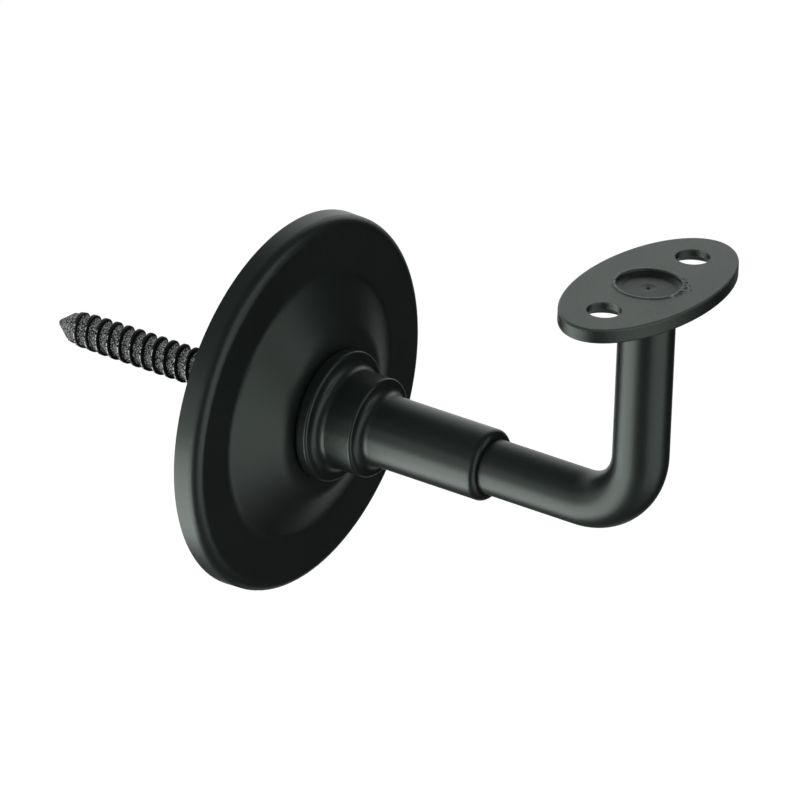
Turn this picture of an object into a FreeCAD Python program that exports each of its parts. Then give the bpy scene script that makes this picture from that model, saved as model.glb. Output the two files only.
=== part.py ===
import FreeCAD, Part
import math
import os

os.makedirs("parts", exist_ok=True)

# Handrail bracket: a turned collar on a hanger screw, a domed rosette between
# collar and wall, a bent round bar and an oval saddle plate under the rail.
# Millimetres. The origin is on the wall plane at the screw's axis.
# +Y goes into the wall, +Z up, X along the handrail.

V = FreeCAD.Vector
X_AXIS = V(1, 0, 0)
Y_AXIS = V(0, 1, 0)
Z_AXIS = V(0, 0, 1)
ORIGIN = V(0, 0, 0)

# ---- bar and layout -------------------------------------------------------
bar_radius = 6.0            # round bar, 12 mm
arm_reach = 89.0            # wall plane to the axis of the upright part
saddle_height = 53.2        # arm axis to the top of the saddle plate
bend_radius = 13.9          # bar's centre line in the bend

# ---- fits -----------------------------------------------------------------
sliding_gap = 0.05          # bar in the collar's socket and in the plate's hole
thread_gap = 0.05           # screw's front end in the collar's bore
weld_gap = 0.02             # weld bead to the metal beside it

# ---- rosette --------------------------------------------------------------
rosette_radius = 41.3
rosette_sheet = 2.0
rosette_height = 11.5       # wall plane to the flat that carries the collar
rim_height = 5.9            # top of the rounded rim
rim_round = 2.4
rim_draft = 0.15            # the rim is this much narrower at its top
ring_dip = 0.3              # the flat ring falls this much towards the centre
ring_inner_radius = 29.2    # foot of the dome
foot_round = 3.5
dome_slope = 27.0           # degrees from the wall plane
dome_round = 8.0            # rounding between the dome's side and its flat top
rosette_hole_radius = 4.6

# ---- turned collar --------------------------------------------------------
collar_front = 52.5         # wall plane to the collar's free end
flange_radius = 14.3
flange_front = 14.5         # wall plane to the flange's outer front edge
step_radius = 10.85
step_front = 23.4           # wall plane to the step's outer front edge
sleeve_radius = 7.8
turned_face_slope = 8.0     # degrees by which both front faces fall back
turned_edge_round = 0.65
flange_back_round = 0.9
cove_round = 2.2            # hollow fillet at the foot of each face
sleeve_end_round = 1.5
socket_depth = 14.0         # for the bar, from the collar's free end
tapped_depth = 25.0         # for the screw, from the collar's back face
drill_point_length = 1.9    # cone at the bottom of the screw's bore
drill_point_radius = 0.3

# ---- hanger screw ---------------------------------------------------------
screw_tip = 59.6            # wall plane to the point, into the wall
screw_pitch = 2.93
screw_crest_radius = 4.1
screw_crest_taper = 0.3     # the crests are this much lower at the point
screw_taper_length = 6.0    # length before the last turn over which half of that comes
screw_root_radius = 2.95
screw_cone_length = 3.4
screw_nose_radius = 0.7
screw_nose_length = 0.3
screw_thread_start = 13.76  # a crest crosses +X here
screw_thread_end = 55.7     # the ridge ends here, just before the cone
ridge_fade_length = 2.8     # the last stretch over which the ridge loses its height
ridge_foot_width = 2.1
ridge_shoulder_width = 0.85
ridge_crest_width = 0.45     # narrow flat land along the crest
ridge_crest_height = 0.25   # from the shoulders up to the crest
ridge_sink = 0.25           # the ridge's foot lies this deep in the core
ridge_spare = 0.15          # height that the envelope takes off the swept ridge
ridge_rise_length = 3.2     # from the plain shank to the first full crest
screw_plain_radius = 3.5
screw_plain_end = 12.5      # end of the plain shank, into the wall
screw_plain_slope = 1.2     # length of the step down to the core
machine_radius = 4.0        # M8 end
machine_back = 3.0          # the machine thread begins this far into the wall
machine_front = 35.0        # its front end, wall plane to the end inside the collar
machine_end_chamfer = 0.8
machine_back_slope = 0.5

# ---- saddle plate ---------------------------------------------------------
saddle_length = 53.0
saddle_width = 27.6
saddle_thickness = 3.2
saddle_edge_round = 0.45
screw_hole_radius = 3.7
screw_hole_spacing = 32.8
countersink_radius = 5.4    # under the plate, for the wood screws' heads
countersink_depth = 1.7
recess_radius = 6.9         # round recess; the bar's end is flush with its floor
recess_depth = 1.05
recess_edge_round = 0.4
bar_end_chamfer = 0.35
centre_dish_radius = 1.9    # shallow dish round the turning centre in the bar's end
centre_dish_depth = 0.12
centre_mark_radius = 0.8
centre_mark_depth = 0.4
weld_foot_radius = 5.5      # inner edge of the weld, on the bar's end
weld_height = 0.5           # up the recess wall
weld_hollow = 0.11          # height of the hollow fillet at its middle
weld_edge = 0.03            # thickness of its inner edge

# ---- modelling ------------------------------------------------------------
tolerance = 1e-6
clear = 1.0                 # a cutting body reaches this far past the metal
seam_turn = 137.0           # degrees; keeps seam lines off the ridge's end face
least_round = 0.2           # smallest rounding on the rosette's inside


def line(start, end):
    return Part.makeLine(V(*start), V(*end))


def rounded_path(corners):
    """Edges through (x, y, z, rounding) corners in a plane; ends are not rounded."""
    edges = []
    last = V(*corners[0][:3])
    for index in range(1, len(corners) - 1):
        here = V(*corners[index][:3])
        radius = corners[index][3]
        before = V(*corners[index - 1][:3]) - here
        after = V(*corners[index + 1][:3]) - here
        before.normalize()
        after.normalize()
        if radius <= 0:
            edges.append(Part.makeLine(last, here))
            last = here
            continue
        half_angle = before.getAngle(after) / 2.0
        reach = radius / math.tan(half_angle)
        middle = before + after
        middle.normalize()
        centre = here + middle * (radius / math.sin(half_angle))
        start = here + before * reach
        end = here + after * reach
        crown = centre - middle * radius
        if (start - last).Length > tolerance:
            edges.append(Part.makeLine(last, start))
        edges.append(Part.Arc(start, crown, end).toShape())
        last = end
    edges.append(Part.makeLine(last, V(*corners[-1][:3])))
    return edges


def turned_about_y(corners):
    """Solid of revolution about Y from (radius, distance from the wall, rounding)."""
    points = [(radius, -distance, 0, rounding) for radius, distance, rounding in corners]
    wire = Part.Wire(Part.__sortEdges__(rounded_path(points + [points[0]])))
    return Part.Face(wire).revolve(ORIGIN, Y_AXIS, 360)


def offset_corners(corners, gap):
    """The same path moved sideways by gap (to the left of its direction of travel)."""
    lines = []
    for (r1, d1, _), (r2, d2, _) in zip(corners[:-1], corners[1:]):
        length = math.hypot(r2 - r1, d2 - d1)
        normal = (-(d2 - d1) / length, (r2 - r1) / length)
        lines.append((r1 + normal[0] * gap, d1 + normal[1] * gap,
                      (r2 - r1) / length, (d2 - d1) / length))
    moved = [(lines[0][0], lines[0][1], 0)]
    for index in range(1, len(lines)):
        ax, ay, adx, ady = lines[index - 1]
        bx, by, bdx, bdy = lines[index]
        turn = adx * bdy - ady * bdx
        along = ((bx - ax) * bdy - (by - ay) * bdx) / turn
        rounding = corners[index][2]
        if turn > 0:
            rounding = max(rounding - gap, least_round)
        else:
            rounding = rounding + gap
        moved.append((ax + adx * along, ay + ady * along, rounding))
    end_r, end_d, _ = corners[-1]
    _, _, dx, dy = lines[-1]
    moved.append((end_r - dy * gap, end_d + dx * gap, 0))
    return moved


def wall_rosette():
    """Domed disc of one sheet thickness, open towards the wall."""
    ring_height = rim_height - ring_dip
    dome_run = (rosette_height - ring_height) / math.tan(math.radians(dome_slope))
    outside = [
        (rosette_radius, 0, 0),
        (rosette_radius - rim_draft, rim_height, rim_round),
        (ring_inner_radius, ring_height, foot_round),
        (ring_inner_radius - dome_run, rosette_height, dome_round),
        (rosette_hole_radius, rosette_height, 0),
    ]
    inside = offset_corners(outside, rosette_sheet)
    inside[0] = (inside[0][0], 0, 0)
    inside[-1] = (rosette_hole_radius, rosette_height - rosette_sheet, 0)
    return turned_about_y(outside + inside[::-1])


def neck_collar():
    """Flange, step and sleeve turned from one bar, with a bore at each end."""
    fall = math.tan(math.radians(turned_face_slope))
    flange_inner = flange_front + (flange_radius - step_radius) * fall
    step_inner = step_front + (step_radius - sleeve_radius) * fall
    body = turned_about_y([
        (0, rosette_height, 0),
        (flange_radius, rosette_height, flange_back_round),
        (flange_radius, flange_front, turned_edge_round),
        (step_radius, flange_inner, cove_round),
        (step_radius, step_front, turned_edge_round),
        (sleeve_radius, step_inner, cove_round),
        (sleeve_radius, collar_front, sleeve_end_round),
        (0, collar_front, 0),
    ])
    socket = Part.makeCylinder(bar_radius + sliding_gap, socket_depth,
                               V(0, -collar_front, 0), Y_AXIS)
    tapped = Part.makeCylinder(machine_radius + thread_gap, tapped_depth,
                               V(0, -rosette_height, 0), V(0, -1, 0))
    tapped_bottom = Part.makeCone(machine_radius + thread_gap, drill_point_radius,
                                  drill_point_length,
                                  V(0, -rosette_height - tapped_depth, 0), V(0, -1, 0))
    return body.cut(socket).cut(tapped.fuse(tapped_bottom))


def bent_arm():
    """Round bar: level part in the collar, one bend, upright part up to the saddle."""
    start = V(0, -(collar_front - socket_depth), 0)
    bend_start = V(0, -(arm_reach - bend_radius), 0)
    bend_end = V(0, -arm_reach, bend_radius)
    bend_centre = V(0, -(arm_reach - bend_radius), bend_radius)
    slant = math.sqrt(0.5) * bend_radius
    bend_middle = bend_centre + V(0, -slant, -slant)
    top = V(0, -arm_reach, saddle_height - recess_depth)
    path = Part.Wire([
        Part.makeLine(start, bend_start),
        Part.Arc(bend_start, bend_middle, bend_end).toShape(),
        Part.makeLine(bend_end, top),
    ])
    section = Part.Wire(Part.makeCircle(bar_radius, start, Y_AXIS))
    bar = path.makePipeShell([section], True, True)
    trim = Part.makeCylinder(bar_radius + clear, bar_end_chamfer,
                             V(0, -arm_reach, top.z - bar_end_chamfer), Z_AXIS)
    cone = Part.makeCone(bar_radius, bar_radius - bar_end_chamfer, bar_end_chamfer,
                         V(0, -arm_reach, top.z - bar_end_chamfer), Z_AXIS)
    mark = Part.makeCone(0, centre_mark_radius, centre_mark_depth,
                         V(0, -arm_reach, top.z - centre_mark_depth), Z_AXIS)
    dish = Part.makeCone(centre_mark_radius, centre_dish_radius, centre_dish_depth,
                         V(0, -arm_reach, top.z - centre_dish_depth), Z_AXIS)
    return bar.cut(trim.cut(cone)).cut(dish).cut(mark)


def saddle_plate():
    """Oval plate across the bar's end: two countersunk screw holes, a round recess."""
    bottom = saddle_height - saddle_thickness
    outline = Part.Ellipse(V(0, -arm_reach, bottom), saddle_length / 2.0, saddle_width / 2.0)
    plate = Part.Face(Part.Wire(outline.toShape())).extrude(V(0, 0, saddle_thickness))
    plate = plate.makeFillet(saddle_edge_round, [e for e in plate.Edges if not_a_seam(e)])
    for side in (-1, 1):
        place = V(side * screw_hole_spacing / 2.0, -arm_reach, bottom - clear)
        plate = plate.cut(Part.makeCylinder(screw_hole_radius, saddle_thickness + 2 * clear,
                                            place, Z_AXIS))
        seat = V(side * screw_hole_spacing / 2.0, -arm_reach, bottom)
        plate = plate.cut(Part.makeCone(countersink_radius, screw_hole_radius,
                                        countersink_depth, seat, Z_AXIS))
    plate = plate.cut(Part.makeCylinder(bar_radius + sliding_gap, saddle_thickness + 2 * clear,
                                        V(0, -arm_reach, bottom - clear), Z_AXIS))
    recess = Part.makeCylinder(recess_radius, recess_depth + clear,
                               V(0, -arm_reach, saddle_height - recess_depth), Z_AXIS)
    plate = plate.cut(recess)
    rim = [e for e in plate.Edges
           if isinstance(e.Curve, Part.Circle)
           and abs(e.Curve.Radius - recess_radius) < tolerance
           and abs(e.Curve.Center.z - saddle_height) < tolerance]
    return plate.makeFillet(recess_edge_round, rim)


def not_a_seam(edge):
    """True for the plate's level edges, false for the upright line in its side."""
    return abs(edge.BoundBox.ZLength) < tolerance


def saddle_weld():
    """Hollow fillet weld in the corner between the recess wall and the bar's end."""
    floor = saddle_height - recess_depth + weld_gap
    outer = recess_radius - weld_gap
    crown = floor + weld_height
    axis_y = -arm_reach
    inner_edge = (weld_foot_radius, axis_y, floor + weld_edge)
    middle = V((weld_foot_radius + outer) / 2.0, axis_y, floor + weld_hollow)
    edges = [
        line((weld_foot_radius, axis_y, floor), (outer, axis_y, floor)),
        line((outer, axis_y, floor), (outer, axis_y, crown)),
        Part.Arc(V(outer, axis_y, crown), middle, V(*inner_edge)).toShape(),
        line(inner_edge, (weld_foot_radius, axis_y, floor)),
    ]
    section = Part.Face(Part.Wire(edges))
    return section.revolve(V(0, axis_y, 0), Z_AXIS, 360)


def screw_body():
    """Core, plain shank and machine-thread end of the screw, along +Z."""
    cone_start = screw_tip - screw_cone_length
    corners = [
        (0, -machine_front),
        (machine_radius - machine_end_chamfer, -machine_front),
        (machine_radius, -machine_front + machine_end_chamfer),
        (machine_radius, machine_back - machine_back_slope),
        (screw_plain_radius, machine_back),
        (screw_plain_radius, screw_plain_end),
        (screw_root_radius, screw_plain_end + screw_plain_slope),
        (screw_root_radius, cone_start),
        (screw_nose_radius, screw_tip - screw_nose_length),
        (screw_nose_radius / 2.0, screw_tip),
        (0, screw_tip),
    ]
    points = [V(radius, 0, height) for radius, height in corners]
    wire = Part.makePolygon(points + [points[0]])
    return Part.Face(wire).revolve(ORIGIN, Z_AXIS, 360)


def screw_envelope():
    """Space the wood thread may fill: it lowers the crests at both ends."""
    inner = screw_root_radius - 2 * ridge_sink
    fade_start = screw_thread_end - ridge_fade_length
    last_crest = screw_crest_radius - screw_crest_taper
    corners = [
        (inner, screw_plain_end),
        (screw_root_radius, screw_plain_end),
        (screw_crest_radius, screw_plain_end + ridge_rise_length),
        (screw_crest_radius - screw_crest_taper / 2.0, fade_start - screw_taper_length),
        (last_crest, fade_start),
        ((last_crest + screw_root_radius) / 2.0, screw_thread_end),
        (screw_root_radius, screw_thread_end + ridge_foot_width),
        (inner, screw_thread_end + ridge_foot_width),
    ]
    points = [V(radius, 0, height) for radius, height in corners]
    wire = Part.makePolygon(points + [points[0]])
    return Part.Face(wire).revolve(ORIGIN, Z_AXIS, 360)


def wood_thread():
    """One right-hand ridge, swept along a helix up +Z and taller than the finished crest."""
    turns = math.ceil((screw_thread_end - screw_plain_end) / screw_pitch)
    first = screw_thread_end - turns * screw_pitch
    foot = screw_root_radius - ridge_sink
    shoulder = screw_crest_radius - ridge_crest_height
    top = screw_crest_radius + ridge_spare
    half_foot = ridge_foot_width / 2.0
    half_shoulder = ridge_shoulder_width / 2.0
    half_crest = ridge_crest_width / 2.0
    half_top = half_crest - ridge_spare * (half_shoulder - half_crest) / ridge_crest_height
    corners = [
        V(foot, 0, first - half_foot),
        V(shoulder, 0, first - half_shoulder),
        V(top, 0, first - half_top),
        V(top, 0, first + half_top),
        V(shoulder, 0, first + half_shoulder),
        V(foot, 0, first + half_foot),
    ]
    section = Part.makePolygon(corners + [corners[0]])
    helix = Part.makeLongHelix(screw_pitch, turns * screw_pitch, screw_root_radius, 0)
    helix.translate(V(0, 0, first))
    ridge = Part.Wire(helix).makePipeShell([section], True, True)
    turned = 360.0 * (screw_thread_end - screw_thread_start) / screw_pitch
    ridge.rotate(ORIGIN, Z_AXIS, turned % 360.0)
    return ridge


def hanger_screw():
    """Double-ended screw: tapering wood thread in the wall, plain M8 end in the collar."""
    envelope = screw_envelope()
    core = screw_body()
    # Turned so that no seam line lies on the ridge's end face.
    envelope.rotate(ORIGIN, Z_AXIS, seam_turn)
    core.rotate(ORIGIN, Z_AXIS, seam_turn)
    screw = core.fuse(wood_thread().common(envelope))
    screw.rotate(ORIGIN, X_AXIS, -90)
    return screw


def export(shape, name):
    solids = shape.Solids
    if len(solids) == 1:
        shape = solids[0]
    shape.exportStep("parts/" + name + ".step")
    box = shape.BoundBox
    print(name, "solids", len(solids), "valid", shape.isValid(), "volume", round(shape.Volume, 1),
          "box", [round(v, 2) for v in (box.XMin, box.XMax, box.YMin, box.YMax, box.ZMin, box.ZMax)])


export(wall_rosette(), "wall_rosette")
export(neck_collar(), "neck_collar")
export(bent_arm(), "bent_arm")
export(saddle_plate(), "saddle_plate")
export(saddle_weld(), "saddle_weld")
export(hanger_screw(), "hanger_screw")
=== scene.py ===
import math

import bpy
from mathutils import Matrix, Vector


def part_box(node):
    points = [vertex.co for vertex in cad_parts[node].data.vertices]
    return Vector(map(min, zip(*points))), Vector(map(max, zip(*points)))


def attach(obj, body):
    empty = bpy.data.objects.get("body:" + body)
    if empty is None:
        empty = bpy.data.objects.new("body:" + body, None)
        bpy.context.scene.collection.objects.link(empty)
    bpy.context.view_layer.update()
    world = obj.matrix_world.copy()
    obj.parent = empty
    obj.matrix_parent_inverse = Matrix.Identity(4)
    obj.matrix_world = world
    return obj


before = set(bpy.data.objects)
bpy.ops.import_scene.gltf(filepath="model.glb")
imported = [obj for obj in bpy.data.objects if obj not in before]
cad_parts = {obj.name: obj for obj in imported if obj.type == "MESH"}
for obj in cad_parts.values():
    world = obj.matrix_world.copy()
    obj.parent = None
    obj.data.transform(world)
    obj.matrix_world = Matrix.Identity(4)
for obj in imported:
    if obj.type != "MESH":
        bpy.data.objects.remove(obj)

# Handrail bracket: rosette, collar, bent bar and saddle plate in one satin black
# coat, on a rolled steel hanger screw. Metres; +Y into the wall, +Z up.

scene = bpy.context.scene
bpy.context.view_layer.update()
MM = 0.001


# ---- small helpers ----------------------------------------------------------
def srgb(text):
    """Linear colour from an sRGB hex value."""
    parts = [int(text[i:i + 2], 16) / 255 for i in (1, 3, 5)]
    return [p / 12.92 if p <= 0.04045 else ((p + 0.055) / 1.055) ** 2.4 for p in parts] + [1.0]


def node(tree, kind, settings=None, **inputs):
    """Adds one shader node. An input is a value, a node whose output is linked, or a
    (node, "socket") pair. Its key is its name, with _ for a space, or i and its number."""
    made = tree.nodes.new("ShaderNode" + kind)
    for name, value in (settings or {}).items():
        setattr(made, name, value)
    for key, value in inputs.items():
        socket = made.inputs[int(key[1:]) if key[1:].isdigit() else key.replace("_", " ")]
        if isinstance(value, bpy.types.Node):
            tree.links.new(next(output for output in value.outputs if output.enabled), socket)
        elif isinstance(value, tuple) and isinstance(value[0], bpy.types.Node):
            tree.links.new(value[0].outputs[value[1]], socket)
        else:
            socket.default_value = value
    return made


def new_material(name):
    """An empty material and its node tree."""
    material = bpy.data.materials.new(name)
    material.use_nodes = True
    material.node_tree.nodes.clear()
    return material, material.node_tree


def per_mm(size):
    """Texture scale whose features are about this many millimetres across."""
    return 1.0 / (size * MM)


def dress(name, material):
    """Gives a CAD node its finish."""
    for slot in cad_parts[name].material_slots:
        slot.material = material


def hand_over(piece, material):
    """Gives a finished new piece its material and makes it part of the bracket."""
    piece.data.materials.append(material)
    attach(piece, "root")


# ---- black coat -------------------------------------------------------------
# Baked satin powder coat on steel: nearly black with a slightly green cast, an
# even soft sheen, a faint orange peel and a fine grain of powder.
COAT_DEEP = "#0d1210"
COAT_PALE = "#171d1a"
COAT_TINT = "#f5fff9"       # colour of the sheen: a trace of green
COAT_ROUGHNESS = 0.36
SHEEN_SPREAD = 0.03         # the grain changes the roughness by this much each way
COAT_IOR = 1.5
PEEL_SIZE = 1.3             # mm across one wave of the orange peel
GRAIN_SIZE = 0.28           # mm; the real grain is about 0.1 mm and is drawn coarser to show
CLOUD_SIZE = 14.0           # mm across one cloud of slightly different tone
CLOUD_SHARE = 0.35          # the rest of the tone comes from the grain
NOISE_LOW, NOISE_HIGH = 0.3, 0.7    # nearly all of a noise lies between these


def coat(name, grain_depth, peel_depth, deep=COAT_DEEP, pale=COAT_PALE,
         roughness=COAT_ROUGHNESS, finish=None):
    """Satin black coat, with depths in mm; finish adds what one piece has beside
    that, to the colour and the bump."""
    material, tree = new_material(name)
    point = (node(tree, "TexCoord"), "Object")
    peel = node(tree, "TexNoise", Vector=point, Scale=per_mm(PEEL_SIZE), Detail=1.5)
    grain = node(tree, "TexNoise", Vector=point, Scale=per_mm(GRAIN_SIZE), Detail=2.0)
    cloud = node(tree, "TexNoise", Vector=point, Scale=per_mm(CLOUD_SIZE), Detail=3.0)
    tone = node(tree, "Mix", {"data_type": "FLOAT"}, Factor=CLOUD_SHARE, A=grain, B=cloud)
    lift = node(tree, "MapRange", Value=tone, From_Min=NOISE_LOW, From_Max=NOISE_HIGH)
    colour = node(tree, "Mix", {"data_type": "RGBA"}, Factor=lift, A=srgb(deep), B=srgb(pale))
    sheen = node(tree, "MapRange", Value=grain, From_Min=NOISE_LOW, From_Max=NOISE_HIGH,
                 To_Min=roughness - SHEEN_SPREAD, To_Max=roughness + SHEEN_SPREAD)
    bump = node(tree, "Bump", Height=peel, Distance=peel_depth * MM)
    bump = node(tree, "Bump", Height=grain, Distance=grain_depth * MM, Normal=bump)
    if finish:
        colour, bump = finish(tree, point, colour, bump)
    shader = node(tree, "BsdfPrincipled", Base_Color=colour, Roughness=sheen, IOR=COAT_IOR,
                  Specular_Tint=srgb(COAT_TINT), Normal=bump)
    node(tree, "OutputMaterial", Surface=shader)
    return material


# The collar's two sharp turned edges: radius and distance from the wall, mm.
TURNED_EDGES = ((14.1, 14.7), (10.65, 23.6))
# Pale colour: worn coat, and painted highlight along the collar's edges and the recess.
EDGE_WEAR_AND_HIGHLIGHT = "#7d837f"
EDGE_LINE_WIDTH = 0.24      # mm to each side of the edge
EDGE_LINE_CORE = 0.4        # share of that width where the pale line is full
EDGE_LINE_PATCH_SIZE = 2.5       # mm
EDGE_LINE_PATCHES = (0.42, 0.58)     # noise levels from no line to a full line


def pale_edge_wear_and_highlight(tree, point, colour, bump):
    """The turned edges show as fine, broken pale lines: thin, worn coat and painted highlight."""
    flat = node(tree, "VectorMath", {"operation": "MULTIPLY"}, i0=point, i1=(1.0, 0.0, 1.0))
    radius = node(tree, "VectorMath", {"operation": "LENGTH"}, i0=flat)
    split = node(tree, "SeparateXYZ", Vector=point)
    section = node(tree, "CombineXYZ", X=radius, Y=(split, "Y"))
    patches = node(tree, "TexNoise", Vector=point, Scale=per_mm(EDGE_LINE_PATCH_SIZE), Detail=3.0,
                   Roughness=0.7)
    broken = node(tree, "MapRange", Value=patches, From_Min=EDGE_LINE_PATCHES[0],
                  From_Max=EDGE_LINE_PATCHES[1])
    for edge_radius, edge_distance in TURNED_EDGES:
        near = node(tree, "VectorMath", {"operation": "DISTANCE"}, i0=section,
                    i1=(edge_radius * MM, -edge_distance * MM, 0.0))
        line = node(tree, "MapRange", Value=near, From_Min=EDGE_LINE_WIDTH * MM,
                    From_Max=EDGE_LINE_CORE * EDGE_LINE_WIDTH * MM)
        # Pale line: painted highlight along the edge, on thin, worn coat.
        worn_and_lit = node(tree, "Math", {"operation": "MULTIPLY"}, i0=line, i1=broken)
        colour = node(tree, "Mix", {"data_type": "RGBA"}, Factor=worn_and_lit, A=colour, B=srgb(EDGE_WEAR_AND_HIGHLIGHT))
    return colour, bump


# The saddle plate's recess, in mm: where its centre is and how far out its edge lies.
PLATE_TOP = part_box("saddle_plate")[1][2]
RECESS_CENTRE = (0.0, -89.0)
RECESS_EDGE = 7.3
EDGE_WANDER = 0.15          # the pale line strays this much in all
EDGE_WANDER_SIZE = 1.8
# Pale line along the recess, painted highlight on thin coat: how far inside its edge, and its half
# widths.
RECESS_LINE_INSET = 0.12
RECESS_LINE_HALF = (0.2, 0.1)
RECESS_LINE_STRENGTH = 0.3
# Chipped coat: degrees from +X towards +Y, and degrees to each side of that.
CHIP_DIRECTION = -88.0
CHIP_SPREAD = 55.0
CHIP_BAND = 0.3             # mm outside the recess's edge, the middle of the chipped band
CHIP_BAND_HALF = (1.3, 0.5)
CHIP_SIZE = 0.8
CHIP_HEIGHT = 0.03
CHIPS_ROUGH = (0.42, 0.6)   # noise levels from smooth to rough
CHIPS_BARE = (0.58, 0.66)   # and from covered to bare
LIT_TOP_DEPTH = (0.2, 0.5)   # mm below the top, where the plain coat takes over


def lit_top_and_recess_wear(tree, point, colour, bump):
    """The plate's top is painted paler than its edge band, as painted light; a pale line,
    painted highlight on thin coat, runs along the recess, and the coat is chipped at one side."""
    # Seen from above, from the recess's centre.
    flat = node(tree, "VectorMath", {"operation": "MULTIPLY_ADD"}, i0=point, i1=(1.0, 1.0, 0.0),
                i2=(-RECESS_CENTRE[0] * MM, -RECESS_CENTRE[1] * MM, 0.0))
    radius = node(tree, "VectorMath", {"operation": "LENGTH"}, i0=flat)
    wander = node(tree, "TexNoise", Vector=point, Scale=per_mm(EDGE_WANDER_SIZE), Detail=2.0)
    out = node(tree, "Math", {"operation": "SUBTRACT"}, i0=radius,
               i1=(RECESS_EDGE + 0.5 * EDGE_WANDER) * MM)
    out = node(tree, "Math", {"operation": "MULTIPLY_ADD"}, i0=wander, i1=EDGE_WANDER * MM, i2=out)

    # Chips: near the edge, within the spread of their direction.
    chip_angle = math.radians(CHIP_DIRECTION)
    ray = node(tree, "VectorMath", {"operation": "NORMALIZE"}, i0=flat)
    side = node(tree, "VectorMath", {"operation": "DOT_PRODUCT"}, i0=ray,
                i1=(math.cos(chip_angle), math.sin(chip_angle), 0.0))
    side = node(tree, "MapRange", Value=side, From_Min=math.cos(math.radians(CHIP_SPREAD)),
                From_Max=math.cos(math.radians(0.5 * CHIP_SPREAD)))
    band = node(tree, "Math", {"operation": "SUBTRACT"}, i0=out, i1=CHIP_BAND * MM)
    band = node(tree, "Math", {"operation": "ABSOLUTE"}, i0=band)
    band = node(tree, "MapRange", Value=band, From_Min=CHIP_BAND_HALF[0] * MM,
                From_Max=CHIP_BAND_HALF[1] * MM)
    chipped = node(tree, "Math", {"operation": "MULTIPLY"}, i0=side, i1=band)
    chips = node(tree, "TexNoise", Vector=point, Scale=per_mm(CHIP_SIZE), Detail=3.0,
                 Roughness=0.65)
    rough = node(tree, "MapRange", Value=chips, From_Min=CHIPS_ROUGH[0], From_Max=CHIPS_ROUGH[1])
    rough = node(tree, "Math", {"operation": "MULTIPLY"}, i0=chipped, i1=rough)
    bump = node(tree, "Bump", Height=rough, Distance=CHIP_HEIGHT * MM, Normal=bump)
    pale_marks = node(tree, "MapRange", Value=chips, From_Min=CHIPS_BARE[0], From_Max=CHIPS_BARE[1])
    pale_marks = node(tree, "Math", {"operation": "MULTIPLY"}, i0=chipped, i1=pale_marks)

    # Pale line just inside the edge, all the way round: painted highlight on thin coat.
    recess_line = node(tree, "Math", {"operation": "ADD"}, i0=out, i1=RECESS_LINE_INSET * MM)
    recess_line = node(tree, "Math", {"operation": "ABSOLUTE"}, i0=recess_line)
    recess_line = node(tree, "MapRange", Value=recess_line, From_Min=RECESS_LINE_HALF[0] * MM,
                From_Max=RECESS_LINE_HALF[1] * MM, To_Max=RECESS_LINE_STRENGTH)
    pale_marks = node(tree, "Math", {"operation": "MAXIMUM"}, i0=pale_marks, i1=recess_line)
    colour = node(tree, "Mix", {"data_type": "RGBA"}, Factor=pale_marks, A=colour, B=srgb(EDGE_WEAR_AND_HIGHLIGHT))

    # Only the top is painted paler: painted light on the face that looks up.
    split = node(tree, "SeparateXYZ", Vector=point)
    below = node(tree, "MapRange", Value=(split, "Z"), From_Min=PLATE_TOP - LIT_TOP_DEPTH[0] * MM,
                 From_Max=PLATE_TOP - LIT_TOP_DEPTH[1] * MM)
    colour = node(tree, "Mix", {"data_type": "RGBA"}, Factor=below, A=colour, B=srgb(COAT_PALE))
    return colour, bump


# Pressed sheet: the smoothest of the pieces, with only the peel of the coat.
rosette_coat = coat("powder_coat_on_pressed_sheet", 0.008, 0.012)
# Turned bar: the coat has filled the tool marks and shines a little more.
collar_coat = coat("powder_coat_on_turned_steel", 0.02, 0.008, roughness=0.31, finish=pale_edge_wear_and_highlight)
# Drawn bar: smooth, with the grain of the coat.
bar_coat = coat("powder_coat_on_drawn_bar", 0.022, 0.008)
# Stamped plate: a little rougher and grainy, with its top painted paler as painted light.
plate_coat = coat("powder_coat_on_stamped_plate", 0.08, 0.006, deep="#272d2a", pale="#444b47",
                  finish=lit_top_and_recess_wear)
# Weld bead: lumpy under the coat.
weld_coat = coat("powder_coat_on_weld_bead", 0.03, 0.06)

dress("wall_rosette", rosette_coat)
dress("neck_collar", collar_coat)
dress("bent_arm", bar_coat)
dress("saddle_plate", plate_coat)
dress("saddle_weld", weld_coat)

# ---- hanger screw -----------------------------------------------------------
# Rolled steel: the wood thread's crests keep a dark, smooth oxide, and the flanks
# and the root between them are grey, gritty and speckled. The dark band reaches onto
# the flank towards the collar, where it is painted shade. On the screw's lower side
# the very crest has bright dots, worn steel and painted glints. The fine thread has
# painted shade between its crests, which are paler. Distances along Y are mm into the wall.
OXIDE_AND_SHADE = "#070908"
GRIT_DARK = "#181b1a"
GRIT_LIGHT = "#ccd0cd"
# Bright dots on the crest: worn steel and painted glints.
WORN_GLINT = "#e4e6e4"
GRIT_SIZE = 0.32            # mm; the real grit is finer and is drawn coarser to show
GRIT_DEPTH = 0.05           # mm
GRIT_SPECKS = (0.47, 0.66)  # noise levels from dark to light
GRIT_SHINE = 0.15           # low specular level: the grit is matt

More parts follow.
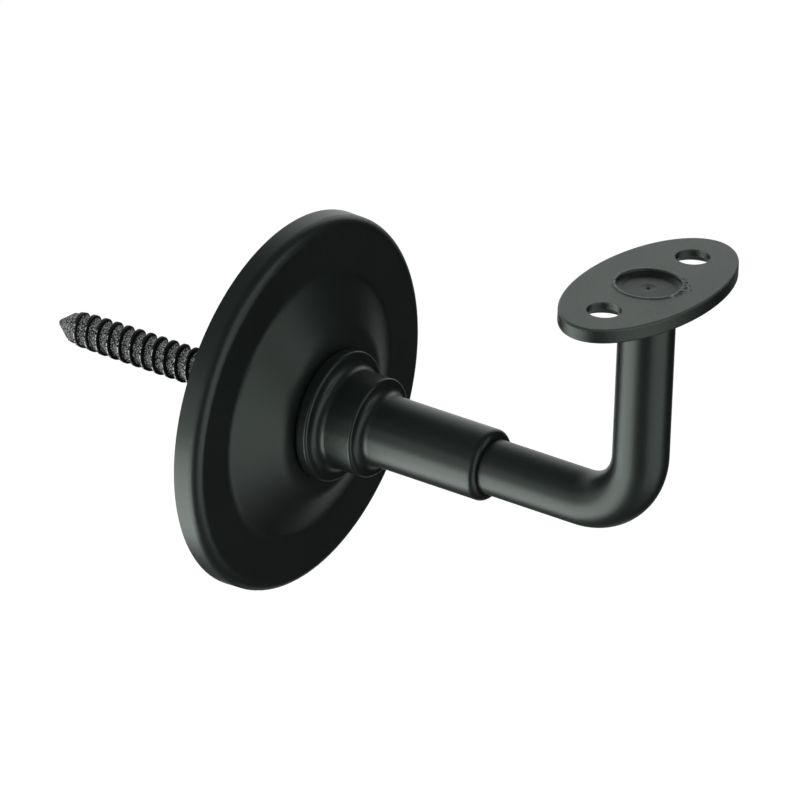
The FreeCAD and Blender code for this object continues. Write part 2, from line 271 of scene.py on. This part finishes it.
WOOD_PITCH = 2.93
WOOD_START = 13.76          # a crest crosses +X here
WOOD_RISE = (12.8, 13.6)    # the oxide sets in between these
WOOD_FLANK = (3.0, 3.2)     # radii between which the root's grit ends
BAND_SHIFT = 0.22           # mm from the crest to the dark band's middle, towards the collar: the band paints shade on that flank
BAND_HALF = 0.18            # half the band's width, in pitches
BAND_SOFT = 0.03            # and the width of its border
BAND_RAGGED = 0.16          # the grit moves that border by this much in all
WORN_GLINT_LINE_HALF = (0.05, 0.025)  # half widths of the bright crest line, in pitches
WORN_GLINT_DOT_SIZE = 0.5
WORN_GLINT_DOTS = (0.47, 0.52)    # noise levels from no dot to a full dot
WORN_GLINT_BELOW = (3.0, 2.0)     # height over the axis, mm, below which the crest has its bright dots
NUB = (57.8, 58.4)          # the very point is darker, where it was pinched off
NUB_STRENGTH = 0.65

MACHINE_PITCH = 1.25
MACHINE_SPAN = (-10.7, 2.0)     # from the rosette's hole to the plain shank
MACHINE_BODY = 4.0              # radius of the solid between the crests
MACHINE_FOOT = 3.9              # radius of the middle of the ridge's section
MACHINE_SECTION = 0.3           # from there to the crest
MACHINE_WIDENING = 2.4          # so that the feet of neighbouring turns just meet
MACHINE_STEPS = 36              # round one turn
MACHINE_GROOVE_SHADE = "#101312"
MACHINE_CREST = "#8b908d"
MACHINE_FLANK = (0.02, 0.14)    # heights over the body between which the groove's painted shade turns to the crest colour
MACHINE_FINISH_END = (2.6, 2.2)


def screw_steel(name):
    """Rolled steel for both threads of the screw."""
    material, tree = new_material(name)
    point = (node(tree, "TexCoord"), "Object")
    split = node(tree, "SeparateXYZ", Vector=point)
    flat = node(tree, "VectorMath", {"operation": "MULTIPLY"}, i0=point, i1=(1.0, 0.0, 1.0))
    radius = node(tree, "VectorMath", {"operation": "LENGTH"}, i0=flat)
    grit = node(tree, "TexNoise", Vector=point, Scale=per_mm(GRIT_SIZE), Detail=3.0, Roughness=0.7)
    specks = node(tree, "MapRange", Value=grit, From_Min=GRIT_SPECKS[0], From_Max=GRIT_SPECKS[1])
    colour = node(tree, "Mix", {"data_type": "RGBA"}, Factor=specks, A=srgb(GRIT_DARK),
                  B=srgb(GRIT_LIGHT))

    # Distance along the axis from the middle of the nearest dark band, in pitches.
    turn = node(tree, "Math", {"operation": "ARCTAN2"}, i0=(split, "Z"), i1=(split, "X"))
    climb = node(tree, "Math", {"operation": "MULTIPLY_ADD"}, i0=(split, "Y"),
                 i1=1.0 / (WOOD_PITCH * MM), i2=(BAND_SHIFT - WOOD_START) / WOOD_PITCH)
    climb = node(tree, "Math", {"operation": "MULTIPLY_ADD"}, i0=turn, i1=0.5 / math.pi, i2=climb)
    phase = node(tree, "Math", {"operation": "WRAP"}, i0=climb, i1=0.5, i2=-0.5)

    # 1 on the wood thread's ridge, 0 on the root, the shank and the fine thread.
    ridge = node(tree, "MapRange", Value=radius, From_Min=WOOD_FLANK[0] * MM,
                 From_Max=WOOD_FLANK[1] * MM)
    rise = node(tree, "MapRange", Value=(split, "Y"), From_Min=WOOD_RISE[0] * MM,
                From_Max=WOOD_RISE[1] * MM)
    ridge = node(tree, "Math", {"operation": "MULTIPLY"}, i0=ridge, i1=rise)

    # Dark oxide along the band, with a ragged border; on the flank towards the collar the band is
    # painted shade.
    across = node(tree, "Math", {"operation": "ABSOLUTE"}, i0=phase)
    across = node(tree, "Math", {"operation": "SUBTRACT"}, i0=across, i1=0.5 * BAND_RAGGED)
    across = node(tree, "Math", {"operation": "MULTIPLY_ADD"}, i0=grit, i1=BAND_RAGGED, i2=across)
    band = node(tree, "MapRange", Value=across, From_Min=BAND_HALF, From_Max=BAND_HALF - BAND_SOFT)
    oxide_and_shade = node(tree, "Math", {"operation": "MULTIPLY"}, i0=band, i1=ridge)
    colour = node(tree, "Mix", {"data_type": "RGBA"}, Factor=oxide_and_shade, A=colour, B=srgb(OXIDE_AND_SHADE))
    nub = node(tree, "MapRange", Value=(split, "Y"), From_Min=NUB[0] * MM, From_Max=NUB[1] * MM,
               To_Max=NUB_STRENGTH)
    colour = node(tree, "Mix", {"data_type": "RGBA"}, Factor=nub, A=colour, B=srgb(OXIDE_AND_SHADE))

    # Bright dots along the crest itself, on the lower side: worn steel and painted glints.
    crest = node(tree, "Math", {"operation": "SUBTRACT"}, i0=phase, i1=BAND_SHIFT / WOOD_PITCH)
    crest = node(tree, "Math", {"operation": "ABSOLUTE"}, i0=crest)
    crest = node(tree, "MapRange", Value=crest, From_Min=WORN_GLINT_LINE_HALF[0],
                 From_Max=WORN_GLINT_LINE_HALF[1])
    dots = node(tree, "TexNoise", Vector=point, Scale=per_mm(WORN_GLINT_DOT_SIZE), Detail=1.0)
    dots = node(tree, "MapRange", Value=dots, From_Min=WORN_GLINT_DOTS[0], From_Max=WORN_GLINT_DOTS[1])
    lower = node(tree, "MapRange", Value=(split, "Z"), From_Min=WORN_GLINT_BELOW[0] * MM,
                 From_Max=WORN_GLINT_BELOW[1] * MM)
    worn_and_lit = node(tree, "Math", {"operation": "MULTIPLY"}, i0=crest, i1=dots)
    worn_and_lit = node(tree, "Math", {"operation": "MULTIPLY"}, i0=worn_and_lit, i1=lower)
    worn_and_lit = node(tree, "Math", {"operation": "MULTIPLY"}, i0=worn_and_lit, i1=ridge)
    colour = node(tree, "Mix", {"data_type": "RGBA"}, Factor=worn_and_lit, A=colour, B=srgb(WORN_GLINT))

    # Fine thread: painted shade in the grooves, paler crests.
    machine_crest_mask = node(tree, "MapRange", Value=radius, From_Min=(MACHINE_BODY + MACHINE_FLANK[0]) * MM,
                 From_Max=(MACHINE_BODY + MACHINE_FLANK[1]) * MM)
    machine = node(tree, "Mix", {"data_type": "RGBA"}, Factor=machine_crest_mask, A=srgb(MACHINE_GROOVE_SHADE),
                   B=srgb(MACHINE_CREST))
    front = node(tree, "MapRange", Value=(split, "Y"), From_Min=MACHINE_FINISH_END[0] * MM,
                 From_Max=MACHINE_FINISH_END[1] * MM)
    colour = node(tree, "Mix", {"data_type": "RGBA"}, Factor=front, A=colour, B=machine)

    rough = node(tree, "MapRange", Value=oxide_and_shade, To_Min=0.6, To_Max=0.5)
    bump = node(tree, "Bump", Height=grit, Distance=GRIT_DEPTH * MM)
    shader = node(tree, "BsdfPrincipled", Base_Color=colour, Metallic=0.0, Roughness=rough,
                  IOR=1.5, Specular_IOR_Level=GRIT_SHINE, Normal=bump)
    node(tree, "OutputMaterial", Surface=shader)
    return material


screw_finish = screw_steel("rolled_screw_steel")
dress("hanger_screw", screw_finish)

# ---- machine thread ---------------------------------------------------------
# Fine right-hand ridge on the part of the screw that shows in the rosette's hollow.
bpy.ops.object.select_all(action="DESELECT")
bpy.ops.mesh.primitive_circle_add(vertices=3, radius=MACHINE_SECTION * MM, fill_type="NOTHING",
                                  location=(MACHINE_FOOT * MM, MACHINE_SPAN[0] * MM, 0),
                                  rotation=(0, 0, -math.pi / 2))
thread = bpy.context.object
thread.name = "machine_thread"
bpy.ops.object.transform_apply(location=True, rotation=True, scale=True)
bpy.ops.object.mode_set(mode="EDIT")
bpy.ops.mesh.select_all(action="SELECT")
bpy.ops.transform.resize(value=(1.0, MACHINE_WIDENING, 1.0))
bpy.ops.object.mode_set(mode="OBJECT")
turns = (MACHINE_SPAN[1] - MACHINE_SPAN[0]) / MACHINE_PITCH
sweep = thread.modifiers.new("sweep", "SCREW")
sweep.axis = "Y"
sweep.angle = 2 * math.pi * turns
sweep.screw_offset = MACHINE_PITCH * turns * MM
sweep.steps = sweep.render_steps = round(MACHINE_STEPS * turns)
bpy.ops.object.modifier_apply(modifier="sweep")
bpy.ops.object.mode_set(mode="EDIT")
bpy.ops.mesh.select_all(action="SELECT")
bpy.ops.mesh.fill_holes(sides=3)
bpy.ops.mesh.normals_make_consistent(inside=False)
bpy.ops.object.mode_set(mode="OBJECT")
hand_over(thread, screw_finish)

# ---- recess lip -------------------------------------------------------------
# Low lip that the weld's heat has raised round the recess, rough at the chipped side.
LIP_HALF_WIDTH = 0.5
LIP_HEIGHT = 0.15
LIP_UNEVEN = 0.05           # all the way round
LIP_ROUGH = 0.2             # at the chipped side

bpy.ops.object.select_all(action="DESELECT")
bpy.ops.mesh.primitive_torus_add(
    major_radius=RECESS_EDGE * MM, minor_radius=LIP_HALF_WIDTH * MM,
    major_segments=180, minor_segments=12,
    location=(RECESS_CENTRE[0] * MM, RECESS_CENTRE[1] * MM, PLATE_TOP))
lip = bpy.context.object
lip.name = "recess_lip"
bpy.ops.object.transform_apply(location=True, rotation=True, scale=True)
bpy.ops.object.mode_set(mode="EDIT")
bpy.ops.mesh.select_mode(type="VERT")
bpy.ops.mesh.select_all(action="SELECT")
bpy.ops.transform.resize(value=(1.0, 1.0, LIP_HEIGHT / LIP_HALF_WIDTH))
bpy.ops.transform.vertex_random(offset=LIP_UNEVEN * MM, uniform=0.5, normal=0.5, seed=3)
bpy.ops.mesh.select_all(action="DESELECT")
bpy.ops.object.mode_set(mode="OBJECT")
for vertex in lip.data.vertices:
    x = vertex.co.x - RECESS_CENTRE[0] * MM
    y = vertex.co.y - RECESS_CENTRE[1] * MM
    turned = (math.degrees(math.atan2(y, x)) - CHIP_DIRECTION + 180) % 360 - 180
    vertex.select = abs(turned) < CHIP_SPREAD
bpy.ops.object.mode_set(mode="EDIT")
bpy.ops.transform.vertex_random(offset=LIP_ROUGH * MM, uniform=0.3, normal=0.7, seed=8)
bpy.ops.mesh.vertices_smooth(factor=0.4, repeat=1)
bpy.ops.mesh.select_all(action="SELECT")
bpy.ops.mesh.normals_make_consistent(inside=False)
bpy.ops.object.mode_set(mode="OBJECT")
bpy.ops.object.shade_smooth()
hand_over(lip, plate_coat)

# ---- weld spatter -----------------------------------------------------------
# Small beads of weld metal that froze on the plate beside the chipped edge:
# angle round the recess (degrees), distance from its centre and radius (mm).
SPATTER = ((-48, 7.9, 0.34), (-58, 8.5, 0.22), (-66, 7.8, 0.42), (-79, 8.3, 0.28),
           (-90, 7.9, 0.36), (-101, 8.1, 0.2), (-112, 7.8, 0.3), (-72, 9.0, 0.18),
           (-38, 8.2, 0.2))
BEAD_UNEVEN = 0.12          # of the bead's radius
BEAD_SHAPE = (1.35, 0.9, 0.55)  # longer along the edge than across it, and low: it has wetted

beads = []
for index, (angle, away, size) in enumerate(SPATTER):
    bpy.ops.object.select_all(action="DESELECT")
    bpy.ops.mesh.primitive_ico_sphere_add(
        subdivisions=3, radius=size * MM,
        location=((RECESS_CENTRE[0] + away * math.cos(math.radians(angle))) * MM,
                  (RECESS_CENTRE[1] + away * math.sin(math.radians(angle))) * MM, PLATE_TOP))
    beads.append(bpy.context.object)
    bpy.ops.object.mode_set(mode="EDIT")
    bpy.ops.mesh.select_all(action="SELECT")
    bpy.ops.transform.vertex_random(offset=size * BEAD_UNEVEN * MM, uniform=0.4, normal=0.6,
                                    seed=index)
    bpy.ops.mesh.vertices_smooth(factor=0.5, repeat=2)
    bpy.ops.transform.resize(value=BEAD_SHAPE)
    bpy.ops.mesh.normals_make_consistent(inside=False)
    bpy.ops.object.mode_set(mode="OBJECT")
bpy.ops.object.select_all(action="DESELECT")
for bead in beads:
    bead.select_set(True)
bpy.context.view_layer.objects.active = beads[0]
bpy.ops.object.join()
spatter = bpy.context.object
spatter.name = "weld_spatter"
bpy.ops.object.transform_apply(location=True, rotation=True, scale=True)
bpy.ops.object.shade_smooth()
hand_over(spatter, plate_coat)

# ---- camera -----------------------------------------------------------------
VIEW_AZIMUTH = math.radians(-56.08)     # from -Y towards +X
VIEW_ELEVATION = math.radians(25.76)
VIEW_ROLL = math.radians(2.11)
CAMERA_DISTANCE = 2.775
LENS = 592.0
AIM = Vector((0.01316, -0.01957, 0.0005))

back = Vector((math.sin(VIEW_AZIMUTH) * math.cos(VIEW_ELEVATION),
               -math.cos(VIEW_AZIMUTH) * math.cos(VIEW_ELEVATION), math.sin(VIEW_ELEVATION)))
level = Vector((math.cos(VIEW_AZIMUTH), math.sin(VIEW_AZIMUTH), 0))
upright = back.cross(level)
right = level * math.cos(VIEW_ROLL) + upright * math.sin(VIEW_ROLL)
up = upright * math.cos(VIEW_ROLL) - level * math.sin(VIEW_ROLL)

camera_data = bpy.data.cameras.new("camera")
camera_data.lens = LENS
camera_data.sensor_width = 36.0
camera_data.clip_end = 50.0
camera = bpy.data.objects.new("camera", camera_data)
scene.collection.objects.link(camera)
stand = Matrix((right, up, back)).transposed().to_4x4()
stand.translation = AIM + back * CAMERA_DISTANCE
camera.matrix_world = stand
scene.camera = camera

# ---- studio -----------------------------------------------------------------
# The bracket hangs free over a pale floor. Curved cards round it are seen only
# in its reflections: one low softbox behind it, dark flags at its sides.
STUDIO_CENTRE = (0.0, -0.03, 0.01)
WHITE = (1.0, 1.0, 1.0, 1.0)
CARD_RADIUS = 0.6
CARD_TINT = "#f9fffc"
# Azimuths from -Y towards +X and elevations between which a card lies, in
# degrees, and how bright it is.
CARDS = (
    ("low_softbox", (195, 270), (-60, -14), 4.0),
    ("right_flag", (30, 92), (-65, 20), 0.02),
    ("right_flag_edge", (92, 114), (-65, 0), 0.35),
    ("right_flag_top", (40, 92), (20, 50), 0.1),
    ("camera_flag", (278, 330), (-45, 50), 0.15),
    ("back_bounce", (105, 150), (8, 30), 1.0),
    ("back_screen", (92, 200), (34, 54), 0.6),
    ("front_panel", (330, 390), (-35, 25), 1.35),
    ("left_screen", (200, 278), (18, 50), 0.3),
    ("top_screen", (0, 360), (50, 90), 0.12),
    ("ground_flag", (0, 360), (-90, -65), 0.08),
    ("ground_flag_front", (270, 390), (-65, -45), 0.25),
    ("ground_flag_back", (116, 180), (-65, -40), 0.1),
)
FLOOR_HEIGHT = -3.0         # low enough for the bracket to be seen from below
FLOOR_SIZE = 60.0
FLOOR_COLOUR = "#e6e6e6"
FLOOR_GLOW = 0.62           # what the lit paper lacks to white
SOFT_LEVEL = 0.5            # the sky's light on the bracket

for name, azimuths, elevations, brightness in CARDS:
    bpy.ops.object.select_all(action="DESELECT")
    bpy.ops.mesh.primitive_uv_sphere_add(segments=72, ring_count=36, radius=CARD_RADIUS,
                                         location=STUDIO_CENTRE)
    card = bpy.context.object
    card.name = name
    bpy.ops.object.mode_set(mode="EDIT")
    bpy.ops.mesh.select_mode(type="FACE")
    bpy.ops.mesh.select_all(action="DESELECT")
    bpy.ops.object.mode_set(mode="OBJECT")
    for face in card.data.polygons:
        x, y, z = face.center.normalized()
        turned = (math.degrees(math.atan2(x, -y)) - azimuths[0]) % 360
        risen = math.degrees(math.asin(z))
        face.select = not (turned < azimuths[1] - azimuths[0]
                           and elevations[0] < risen < elevations[1])
    bpy.ops.object.mode_set(mode="EDIT")
    bpy.ops.mesh.delete(type="FACE")
    bpy.ops.object.mode_set(mode="OBJECT")
    material, tree = new_material(name + "_cloth")
    glow = node(tree, "Emission", Color=srgb(CARD_TINT), Strength=brightness)
    node(tree, "OutputMaterial", Surface=glow)
    card.data.materials.append(material)
    card.visible_camera = False
    card.visible_diffuse = False
    card.visible_shadow = False
    card.visible_transmission = False


def backdrop_rays(tree):
    """1 for rays that should meet the white backdrop, 0 for soft light."""
    path = node(tree, "LightPath")
    seen = node(tree, "Math", {"operation": "MAXIMUM"}, i0=(path, "Is Camera Ray"),
                i1=(path, "Is Glossy Ray"))
    return node(tree, "Math", {"operation": "MAXIMUM"}, i0=seen, i1=(path, "Is Transmission Ray"))


bpy.ops.object.select_all(action="DESELECT")
bpy.ops.mesh.primitive_plane_add(size=FLOOR_SIZE, location=(0, 0, FLOOR_HEIGHT))
floor = bpy.context.object
floor.name = "studio_floor"
material, tree = new_material("pale_paper")
matt = node(tree, "BsdfDiffuse", Color=srgb(FLOOR_COLOUR))
glow = node(tree, "Math", {"operation": "MULTIPLY"}, i0=backdrop_rays(tree), i1=FLOOR_GLOW)
glow = node(tree, "Emission", Color=WHITE, Strength=glow)
both = node(tree, "AddShader", i0=matt, i1=glow)
node(tree, "OutputMaterial", Surface=both)
floor.data.materials.append(material)

world = bpy.data.worlds.new("studio")
scene.world = world
world.use_nodes = True
tree = world.node_tree
tree.nodes.clear()
brightness = node(tree, "MapRange", Value=backdrop_rays(tree), To_Min=SOFT_LEVEL, To_Max=1.0)
sky = node(tree, "Background", Color=WHITE, Strength=brightness)
node(tree, "OutputWorld", Surface=sky)

# Square lamps, out of sight in reflections, where the cards stand instead:
# place, side and watts.
LAMPS = (
    ("overhead_lamp", (-0.4, -0.5, 1.6), 1.2, 7.0),
    ("low_lamp", (-0.35, 0.24, -0.32), 0.35, 1.2),
)
for name, place, side, watts in LAMPS:
    data = bpy.data.lights.new(name, "AREA")
    data.size = side
    data.energy = watts
    lamp = bpy.data.objects.new(name, data)
    scene.collection.objects.link(lamp)
    lamp.location = place
    aim = Vector(STUDIO_CENTRE) - Vector(place)
    lamp.rotation_euler = aim.to_track_quat("-Z", "Y").to_euler()
    lamp.visible_glossy = False
    lamp.visible_camera = False

scene.view_settings.view_transform = "Standard"
